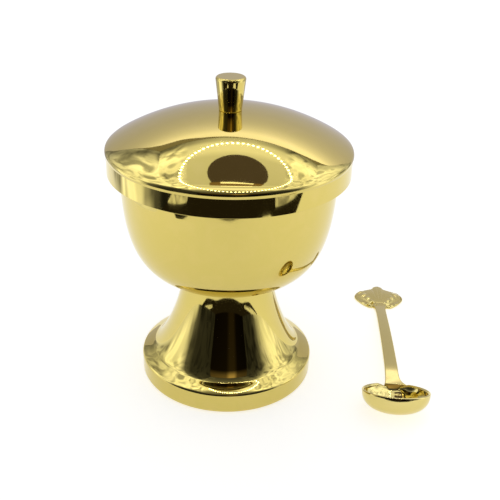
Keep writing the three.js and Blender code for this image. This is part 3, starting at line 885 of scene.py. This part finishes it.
sections = []
mouth = Vector((0, handle_start, handle_top(0)))
tail = Vector((0, handle_start - TONGUE, TONGUE_HEIGHT))
tongue = interpolate_bezier(mouth, mouth - uphill(MOUTH_ANGLE) * MOUTH_PULL,
                            tail + uphill(TAIL_ANGLE) * TAIL_PULL, tail, TONGUE_STEPS + 1)
for i, p in enumerate(reversed(tongue[1:])):
    share = i / TONGUE_STEPS
    width = HANDLE_WIDTH * (TONGUE_NARROWING + (1 - TONGUE_NARROWING) * share) + HANDLE_FLARE * share ** 2
    thickness = TONGUE_END + (HANDLE_THICKNESS - TONGUE_END) * share
    sections.append(bar_section(p.y, p.z, width, thickness, 1.0, FLARE_ASIDE * share ** 2))
for i in range(HANDLE_STEPS + 1):
    share = (i / HANDLE_STEPS) ** HANDLE_CROWDING
    y = handle_start + (HANDLE_REACH + HANDLE_OVERLAP) * share
    along = min((y - handle_start) / HANDLE_REACH, 1.0)
    distance = along * HANDLE_REACH
    width = HANDLE_WIDTH + (HANDLE_END_WIDTH - HANDLE_WIDTH) * along
    flare = exp(-distance / HANDLE_FLARE_LENGTH)
    width += HANDLE_FLARE * flare
    width += HANDLE_END_FLARE * exp((distance - HANDLE_REACH) / HANDLE_FLARE_LENGTH)
    sag = 1 - smooth_step(distance / SAG_LENGTH)
    sections.append(bar_section(y, handle_top(along), width, HANDLE_THICKNESS, sag, FLARE_ASIDE * flare))
handle = link("spoon_handle", to_mesh("spoon_handle", skin(sections)), cast_gold)
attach(handle, "spoon")
report(handle)

# %% [markdown]
# The shell has a smooth fan in the middle with three fine lines, a rounded
# crown above it and a lobe on each side with an upper and a lower ridge. The
# ridges are puffed up and uneven, as they come from the mould.

# %% Shell
SHELL_HALF_WIDTH = 11.3
SHELL_LENGTH = 19.4
SHELL_EDGE = 1.2
SHELL_CROWN = 2.2
SHELL_BULGE = 0.43
SHELL_HALF = [
    (0.29, 0), (0.5, 0.02), (0.8, 0.2), (1, 0.43),
    (0.86, 0.65), (0.55, 0.77), (0.25, 0.86), (0.17, 0.95),
]
SHELL_RIM = [  # shares of the outline and of the edge's height
    (0.9, 0.0), (0.94, 0.02), (0.975, 0.12), (0.995, 0.32),
    (1.0, 0.55), (0.998, 0.8), (0.99, 0.94),
]
SHELL_FACE = 0.975  # the face's share of the outline
FACE_FALL, FALL_FROM, FALL_OVER = 0.25, 0.9, 0.075  # it falls towards the rim
SHELL_STEPS = 288
SHELL_RINGS = 56
FAN_BACK = 1.5  # the ridges meet this far behind the shell's root
FAN_HALF, FAN_FADE = 20, 12  # degrees, where the smooth fan gives way to ridges
FAN_LIFT = 0.35
FAN_LINES = (-8.5, 0, 8.5)
LINE_DEPTH, LINE_WIDTH = 0.16, 1.1
RIB_PITCH = 32
RIB = 0.4
PUFF = 0.3
KNUCKLE, KNUCKLE_ASIDE = 0.45, 1.9  # two small swellings at the root
GROOVE, GROOVE_PLACE = 0.25, 1.9  # a groove across, above them


def rounded_line(corners, count):
    """A closed line through the corners, as a string of smooth curves."""
    pieces = []
    for i, b in enumerate(corners):
        a, c, d = corners[i - 1], corners[(i + 1) % len(corners)], corners[(i + 2) % len(corners)]
        pieces += interpolate_bezier(b, b + (c - a) / 6, c - (d - b) / 6, c, 25)[:-1]
    steps = [0.0]
    for a, b in zip(pieces, pieces[1:] + pieces[:1]):
        steps.append(steps[-1] + (b - a).length)
    even, k = [], 0
    for i in range(count):
        target = steps[-1] * i / count
        while steps[k + 1] < target:
            k += 1
        share = (target - steps[k]) / (steps[k + 1] - steps[k])
        even.append(pieces[k].lerp(pieces[(k + 1) % len(pieces)], share))
    return even


right_side = [Vector((u * SHELL_HALF_WIDTH, v * SHELL_LENGTH, 0)) for u, v in SHELL_HALF]
left_side = [Vector((-p.x, p.y, 0)) for p in reversed(right_side)]
shell_line = rounded_line([*right_side, Vector((0, SHELL_LENGTH, 0)), *left_side], SHELL_STEPS)
shell_middle = Vector((0, SHELL_BULGE * SHELL_LENGTH, 0))


def shell_height(x, y, share):
    """Relief of the shell's face; the share is 0 in the middle and 1 at the rim."""
    fan = degrees(atan2(x, y + FAN_BACK))
    out = hypot(x, y)
    height = SHELL_EDGE + (SHELL_CROWN - SHELL_EDGE) * (1 - share ** 2)
    side = smooth_step((abs(fan) - FAN_HALF) / FAN_FADE)
    rib = cos(2 * pi * fan / RIB_PITCH)
    height += RIB * share * (2 - share) * (side * rib + (1 - side) * FAN_LIFT)
    for line in FAN_LINES:
        cut = LINE_DEPTH * (1 - side) * exp(-((fan - line) / LINE_WIDTH) ** 2)
        height -= cut * smooth_step((out - 4) / 5)
    puff = 0.5 + 0.5 * sin(1.9 * out + 0.045 * fan)
    height += PUFF * side * smooth_step((share - 0.25) / 0.4) * (puff - 0.5) * max(0.0, 0.35 + rib)
    for place in (-KNUCKLE_ASIDE, KNUCKLE_ASIDE):
        height += KNUCKLE * exp(-((x - place) ** 2 + (y - 0.3) ** 2) / 0.75)
    height -= GROOVE * exp(-((y - GROOVE_PLACE) / 0.55) ** 2) * (1 - smooth_step((abs(x) - 4.5) / 2))
    return height


loops = []
for share, up in SHELL_RIM:
    loops.append([shell_middle.lerp(p, share) + Vector((0, 0, up * SHELL_EDGE)) for p in shell_line])
for i in range(SHELL_RINGS + 1):
    share = SHELL_FACE * (1 - i / SHELL_RINGS)
    loop = []
    for p in shell_line:
        q = shell_middle.lerp(p, share)
        q.z = shell_height(q.x, q.y, share) - FACE_FALL * smooth_step((share - FALL_FROM) / FALL_OVER)
        loop.append(q)
    loops.append(loop)
moved = Vector((0, shell_root, 0))
shell_skin = skin([[p + moved for p in loop] for loop in loops])
shell = link("spoon_shell", to_mesh("spoon_shell", shell_skin), shell_gold)
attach(shell, "spoon")
report(shell)

# %% [markdown]
# ## The table and the light
#
# The object stands on white paper in a small tent. The paper covers the table
# and runs up the back, the sides and the ceiling are crinkled foil, and a ring
# of small lamps lies round a hole in the ceiling. The front is dark, with one
# warm patch high up. The metal shows all of it. The paper at the back and the
# foil are cards that glow, and their light and shade, the warm patch too, are
# painted into the glow. The tent is seen only in reflections, so that the
# camera can stand anywhere.

# %% Table
TENT_LEFT, TENT_RIGHT = -194.0, 264.0  # from the boat's axis, in mm, like all places here
TENT_FRONT, TENT_BACK = -400.0, 225.0
TENT_TOP = 400.0
TABLE_HALF = 4.0  # metres
TABLE_DROP = 0.05  # mm under the foot, so that the two don't share a face
DARK_ROOM = (0.020, 0.016, 0.012, 1)


def staged(name, bm, material):
    mesh = to_mesh(name, bm)
    mesh.materials.append(material)
    thing = bpy.data.objects.new(name, mesh)
    bpy.context.scene.collection.objects.link(thing)
    return thing


def only_reflected(thing):
    thing.visible_camera = False
    thing.visible_diffuse = False
    thing.visible_shadow = False


def measured(tree):
    """The place in mm from the boat's axis, as three sockets."""
    coordinates = tree.nodes.new("ShaderNodeTexCoord").outputs["Object"]
    shift = add(tree, "ShaderNodeMapping", Vector=coordinates,
                Location=tuple(-axis / MM), Scale=(1 / MM,) * 3)
    return add(tree, "ShaderNodeSeparateXYZ", Vector=shift.outputs[0]).outputs


def curve(tree, value, *stops):
    """A curve through the given values and levels. The levels may pass 1."""
    low, high = stops[0][0], stops[-1][0]
    most = max(level_ for _, level_ in stops)
    share = add(tree, "ShaderNodeMapRange", Value=value, From_Min=low, From_Max=high).outputs[0]
    points = [((v - low) / (high - low), level_ / most) for v, level_ in stops]
    return times(tree, ramp(tree, share, *points), most)


material, tree = new_material("table_white")
x, y, z = measured(tree)
rays = tree.nodes.new("ShaderNodeLightPath").outputs
seen = maths(tree, "MINIMUM", 1.0, maths(tree, "ADD", rays["Is Camera Ray"],
             maths(tree, "ADD", rays["Is Glossy Ray"], rays["Is Transmission Ray"])))
# Reflections show the dark room in front of the paper's edge
front = curve(tree, x, (-200, 120), (-150, 130), (-105, 195), (-85, 206),
              (110, 206), (130, 195), (165, 135), (240, 110))
beyond = maths(tree, "LESS_THAN", maths(tree, "ADD", y, front), 0.0)
dark = times(tree, beyond, rays["Is Glossy Ray"])
# Painted light: the paper's glow is brighter towards both sides
sideways = curve(tree, x, (-200, 0.76), (-60, 0.64), (20, 0.62), (100, 0.68), (240, 0.78))
paper = add(tree, "ShaderNodeBsdfDiffuse", Color=(0.8, 0.8, 0.8, 1))
glow = add(tree, "ShaderNodeEmission", Color=(1, 1, 1, 1), Strength=times(tree, seen, sideways))
lit = add(tree, "ShaderNodeAddShader", _0=paper.outputs[0], _1=glow.outputs[0])
night = add(tree, "ShaderNodeEmission", Color=DARK_ROOM, Strength=1.0)
table = add(tree, "ShaderNodeMixShader", _0=dark, _1=lit.outputs[0], _2=night.outputs[0])
finish_material(tree, table.outputs[0])
bm = bmesh.new()
bmesh.ops.create_grid(bm, x_segments=1, y_segments=1, size=TABLE_HALF)
bmesh.ops.translate(bm, verts=bm.verts, vec=(0, 0, -TABLE_DROP * MM))
staged("floor", bm, material)


# %% Paper at the back
def emitting(name, build):
    """A material that only gives light. What is handed in builds its colour and strength."""
    material, tree = new_material(name)
    colour, strength = build(tree)
    glow = add(tree, "ShaderNodeEmission", Color=colour, Strength=strength)
    finish_material(tree, glow.outputs[0])
    return material


def even(name, colour, strength):
    """The same light all over."""
    return emitting(name, lambda tree: (colour, strength))


def card(name, corners, material):
    bm = bmesh.new()
    bm.faces.new([bm.verts.new(axis + Vector(c) * MM) for c in corners])
    only_reflected(staged(name, bm, material))


def level_card(name, left, right, near, far, height, material):
    line = [(left, near), (right, near), (right, far), (left, far)]
    card(name, [(x, y, height) for x, y in line], material)


def card_across(name, y, material):
    """A card as wide and as tall as the tent."""
    card(name, [(TENT_LEFT, y, 0), (TENT_RIGHT, y, 0), (TENT_RIGHT, y, TENT_TOP), (TENT_LEFT, y, TENT_TOP)],
         material)


def back_paper(tree):
    x, y, z = measured(tree)
    # Painted light: the paper glows brighter towards the top and towards the right
    upwards = curve(tree, z, (0, 0.62), (130, 0.58), (200, 0.64), (240, 0.72), (263, 0.79), (280, 0.87),
                    (300, 1.0), (323, 1.18), (340, 1.4), (356, 1.58), (380, 1.6), (400, 1.45))
    sideways = curve(tree, x, (-180, 0.98), (-60, 0.97), (60, 1.03), (220, 1.12))
    return (1, 0.97, 1.12, 1), times(tree, upwards, sideways)


# The paper's upper corners are round, with shade behind them
PAPER_LINE = [
    (-192, 0), (-194, 252), (-191, 296), (-182, 328), (-164, 350), (-140, 359),
    (-112, 364), (-70, 383), (-30, 389), (4, 392), (81, 395), (138, 397),
    (198, 391), (232, 378), (254, 362), (263, 342), (263, 0),
]
card("paper_back", [(x, TENT_BACK, z) for x, z in PAPER_LINE], emitting("back_paper_glow", back_paper))
card_across("corner_shade", TENT_BACK + 1, even("shade_dark", (0.3, 0.27, 0.22, 1), 1.0))


# %% Foil on the sides, and the front
FOIL_STILL = 90  # the height that stays in place when the foil's pattern is stretched


def crinkled(tree, scale, low, high, seed):
    """Painted light of crinkled foil: soft patches of bright and dull, drawn out a little and folded here and
    there.
    """
    coordinates = tree.nodes.new("ShaderNodeTexCoord").outputs["Object"]
    shift = add(tree, "ShaderNodeMapping", Vector=coordinates, Location=(seed, 0.3 * seed, 0.7 * seed),
                Scale=(1.0, 1.0, 0.7)).outputs[0]
    bend = noise(tree, shift, scale, Detail=2.0, Roughness=0.45, Distortion=1.6)
    return curve(tree, bend, (0.3, low), (0.42, 0.6 * low + 0.4 * high), (0.56, high), (0.7, 0.8 * high))


def blend(tree, share, first, second):
    """First where the share is 0, second where it is 1."""
    rest = maths(tree, "SUBTRACT", 1.0, share)
    return maths(tree, "ADD", times(tree, first, rest), times(tree, second, share))


def side_foil(dull, bright, fold, stretch, seed):
    """Foil with painted light: dark in front of y = dull, bright from y = bright on, and a painted shade and
    highlight of a fold at the back, set by fold.
    """
    def build(tree):
        x, far, high = measured(tree)
        y = maths(tree, "DIVIDE", far, stretch)
        z = maths(tree, "ADD", maths(tree, "DIVIDE", high, stretch), FOIL_STILL - FOIL_STILL / stretch)
        lower = curve(tree, y, (TENT_FRONT, 0.02), (dull - 40, 0.03), (dull, 0.12), (bright, 1.15),
                      (35, 1.18), (62, 0.66), (130, 0.58), (180, 0.3), (TENT_BACK, 0.12))
        upper = curve(tree, y, (TENT_FRONT, 0.02), (dull - 60, 0.06), (dull, 0.3), (bright, 1.3),
                      (0, 1.1), (60, 1.25), (110, 1.4), (140, 1.2), (170, 0.7), (190, fold),
                      (212, 2 * fold), (TENT_BACK, 0.3))
        level_ = blend(tree, curve(tree, z, (150, 0.0), (290, 1.0)), lower, upper)
        patchy = times(tree, level_, crinkled(tree, 13.0, 0.5, 1.6, seed))
        # Painted light: a bright band along the foil's lower edge, where it turns up from the table, behind
        # its dark front
        painted_edge_light = times(tree, curve(tree, y, (dull - 10, 0.0), (dull + 10, 1.0)),
                          curve(tree, z, (8, 1.0), (22, 0.0)))
        return (0.97, 0.99, 1.12, 1), blend(tree, painted_edge_light, patchy, 1.15)
    return build


def front_foil(tree):
    x, y, z = measured(tree)
    # Painted light: a warm patch high up in the middle of the dark front
    sideways = curve(tree, x, (-180, 0.2), (0, 0.3), (40, 1.0), (90, 1.0), (130, 0.2), (220, 0.15))
    upwards = curve(tree, z, (0, 0.02), (230, 0.03), (300, 0.45), (370, 0.6), (400, 0.45))
    return (1.0, 0.72, 0.4, 1), times(tree, sideways, upwards)


SIDE_FOILS = [
    ("foil_left", TENT_LEFT, (-80, -45, 0.25, 1.08, 0.11)),
    ("foil_right", TENT_RIGHT, (-140, -45, 0.6, 1.2, 0.47)),
]
for name, x, pattern in SIDE_FOILS:
    card(name, [(x, TENT_FRONT, 0), (x, TENT_BACK, 0), (x, TENT_BACK, TENT_TOP), (x, TENT_FRONT, TENT_TOP)],
         emitting(name + "_glow", side_foil(*pattern)))
card_across("foil_front", TENT_FRONT, emitting("foil_front_glow", front_foil))

# Where the foil's lower edge lies folded on the table, in front on both sides; its light is painted in
# crinkled patches
fold = emitting("fold_glow", lambda tree: ((1, 1, 1.05, 1), crinkled(tree, 30.0, 0.35, 1.15, 0.2)))
card("fold_left", [(-190, -150, 1), (-190, -225, 1), (-150, -235, 1), (-140, -205, 1), (-172, -170, 1)], fold)
card("fold_right", [(262, -110, 1), (215, -135, 1), (150, -190, 1), (168, -215, 1), (262, -190, 1)], fold)

# %% Ceiling with a ring of lamps
RING_X, RING_Y, RING_RADIUS = 20.0, 34.0, 150.0
HOLE_X, HOLE_Y, HOLE_RADIUS = 22.0, 40.0, 78.0
HOLE_FRONT = 1.0  # a bar of lamps crosses the hole here
BAR_LEFT, BAR_RIGHT = -22, 62
LAMPS = 72
LAMP_RADIUS = 3.2
LAMP_CORNERS = 12


def ceiling_foil(tree):
    x, y, z = measured(tree)
    # Painted light on the ceiling: bands of bright and dark from front to back, and crinkled patches to the
    # left and right of the ring
    back_and_forth = curve(tree, y, (TENT_FRONT, 0.08), (-280, 0.12), (-180, 0.2), (-125, 0.3), (-108, 0.35),
                           (-92, 0.9), (-80, 1.6), (-58, 1.6), (-46, 0.85), (-30, 1.2), (-10, 0.9),
                           (110, 1.0), (140, 1.35), (185, 1.4), (203, 0.9), (TENT_BACK, 0.75))
    aside = maths(tree, "ABSOLUTE", maths(tree, "SUBTRACT", x, RING_X))
    # Painted shade: the ceiling is darker towards the back corners
    corner = times(tree, curve(tree, aside, (40, 0.0), (150, 1.0)),
                   curve(tree, y, (150, 0.0), (215, 1.0)))
    level_ = times(tree, back_and_forth, blend(tree, corner, 1.0, 0.4))
    outside = curve(tree, aside, (125, 0.0), (150, 1.0))
    patchy = blend(tree, outside, 1.0, crinkled(tree, 17.0, 0.4, 1.7, 0.9))
    return (0.99, 1, 1.08, 1), times(tree, level_, patchy)


level_card("ceiling", TENT_LEFT, TENT_RIGHT, TENT_FRONT, TENT_BACK, TENT_TOP,
           emitting("ceiling_glow", ceiling_foil))

# What hangs under the ceiling lies in layers 1 mm apart
hole_line = [(HOLE_X + HOLE_RADIUS * cos(radians(a)), HOLE_Y + HOLE_RADIUS * sin(radians(a)))
             for a in range(-30, 211, 15)]
card("ceiling_hole", [(x, max(y, HOLE_FRONT), TENT_TOP - 1) for x, y in hole_line],
     even("hole_dark", (0.105, 0.082, 0.085, 1), 1.0))
bar_glow = even("bar_glow", (1, 1, 1, 1), 2.2)
bar_dark = even("bar_dark", (0.3, 0.2, 0.1, 1), 1.0)
for number, (near, far) in enumerate(((-5.5, 0.5), (-31, -24))):
    level_card(f"lamp_bar_{number}", BAR_LEFT, BAR_RIGHT, near, far, TENT_TOP - 2, bar_glow)
card("bar_shade", [(-52, -22, TENT_TOP - 1), (86, -22, TENT_TOP - 1), (92, HOLE_FRONT, TENT_TOP - 1),
                   (-50, HOLE_FRONT, TENT_TOP - 1)], bar_dark)
bm = bmesh.new()
for i in range(LAMPS):
    turn = 2 * pi * i / LAMPS
    spot = Vector((RING_X + RING_RADIUS * cos(turn), RING_Y + RING_RADIUS * sin(turn), TENT_TOP - 3))
    bmesh.ops.create_circle(bm, cap_ends=True, segments=LAMP_CORNERS, radius=LAMP_RADIUS * MM,
                            matrix=Matrix.Translation(axis + spot * MM))
only_reflected(staged("ring_lamps", bm, even("lamp_glow", (1, 1, 1.1, 1), 17.0)))

# %% World and lamp
TOP_LAMP_SIZE = 0.35  # metres
TOP_LAMP_POWER = 0.1  # watts

world = bpy.data.worlds.new("room")
bpy.context.scene.world = world
world.use_nodes = True
tree = world.node_tree
tree.nodes.clear()
rays = tree.nodes.new("ShaderNodeLightPath").outputs
white = add(tree, "ShaderNodeBackground", Color=(1, 1, 1, 1), Strength=1.0)
soft = add(tree, "ShaderNodeBackground", Color=(1, 1, 1, 1), Strength=0.5)
room = add(tree, "ShaderNodeBackground", Color=DARK_ROOM, Strength=1.0)
unseen = add(tree, "ShaderNodeMixShader", _0=rays["Is Glossy Ray"], _1=soft.outputs[0], _2=room.outputs[0])
shown = add(tree, "ShaderNodeMixShader", _0=rays["Is Camera Ray"], _1=unseen.outputs[0], _2=white.outputs[0])
output = tree.nodes.new("ShaderNodeOutputWorld")
tree.links.new(shown.outputs[0], output.inputs["Surface"])

lamp_data = bpy.data.lights.new("soft_top", "AREA")
lamp_data.shape = "DISK"
lamp_data.size = TOP_LAMP_SIZE
lamp_data.energy = TOP_LAMP_POWER
lamp = bpy.data.objects.new("soft_top", lamp_data)
lamp.location = axis + Vector((RING_X, RING_Y, TENT_TOP)) * MM
lamp.visible_glossy = False
bpy.context.scene.collection.objects.link(lamp)

# %% Colour and the end
bpy.context.scene.view_settings.view_transform = "Standard"
